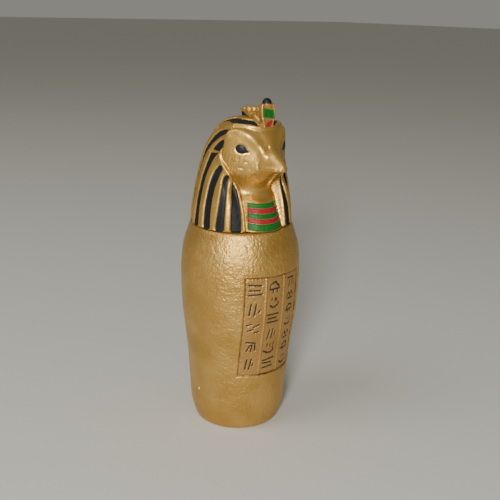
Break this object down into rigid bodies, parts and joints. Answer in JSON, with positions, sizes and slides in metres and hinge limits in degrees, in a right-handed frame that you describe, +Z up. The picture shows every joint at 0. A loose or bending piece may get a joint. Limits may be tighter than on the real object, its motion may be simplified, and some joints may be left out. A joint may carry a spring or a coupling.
{
  "type": "canopic jar",
  "caption": "Miniature cast canopic jar: a tapering lidded jar with an inscription panel and a lid in the form of a falcon's head in a striped headcloth.",
  "frame": {"origin": "centre of the jar's underside", "axes": "+Z up along the jar's axis, -Y out of the inscription panel"},
  "size_m": [0.0356, 0.0382, 0.0994],
  "materials": {
    "gold_paint_jar": "antique gold paint on cast resin with a fine orange-peel grain, brown-black paint in the incised marks",
    "gold_paint_lid": "antique gold paint on cast resin, with black stripes and eyes and green and red collar bands painted by hand"
  },
  "bodies": {
    "root": {"jar": "gold_paint_jar", "lid": "gold_paint_lid"}
  },
  "joints": []
}
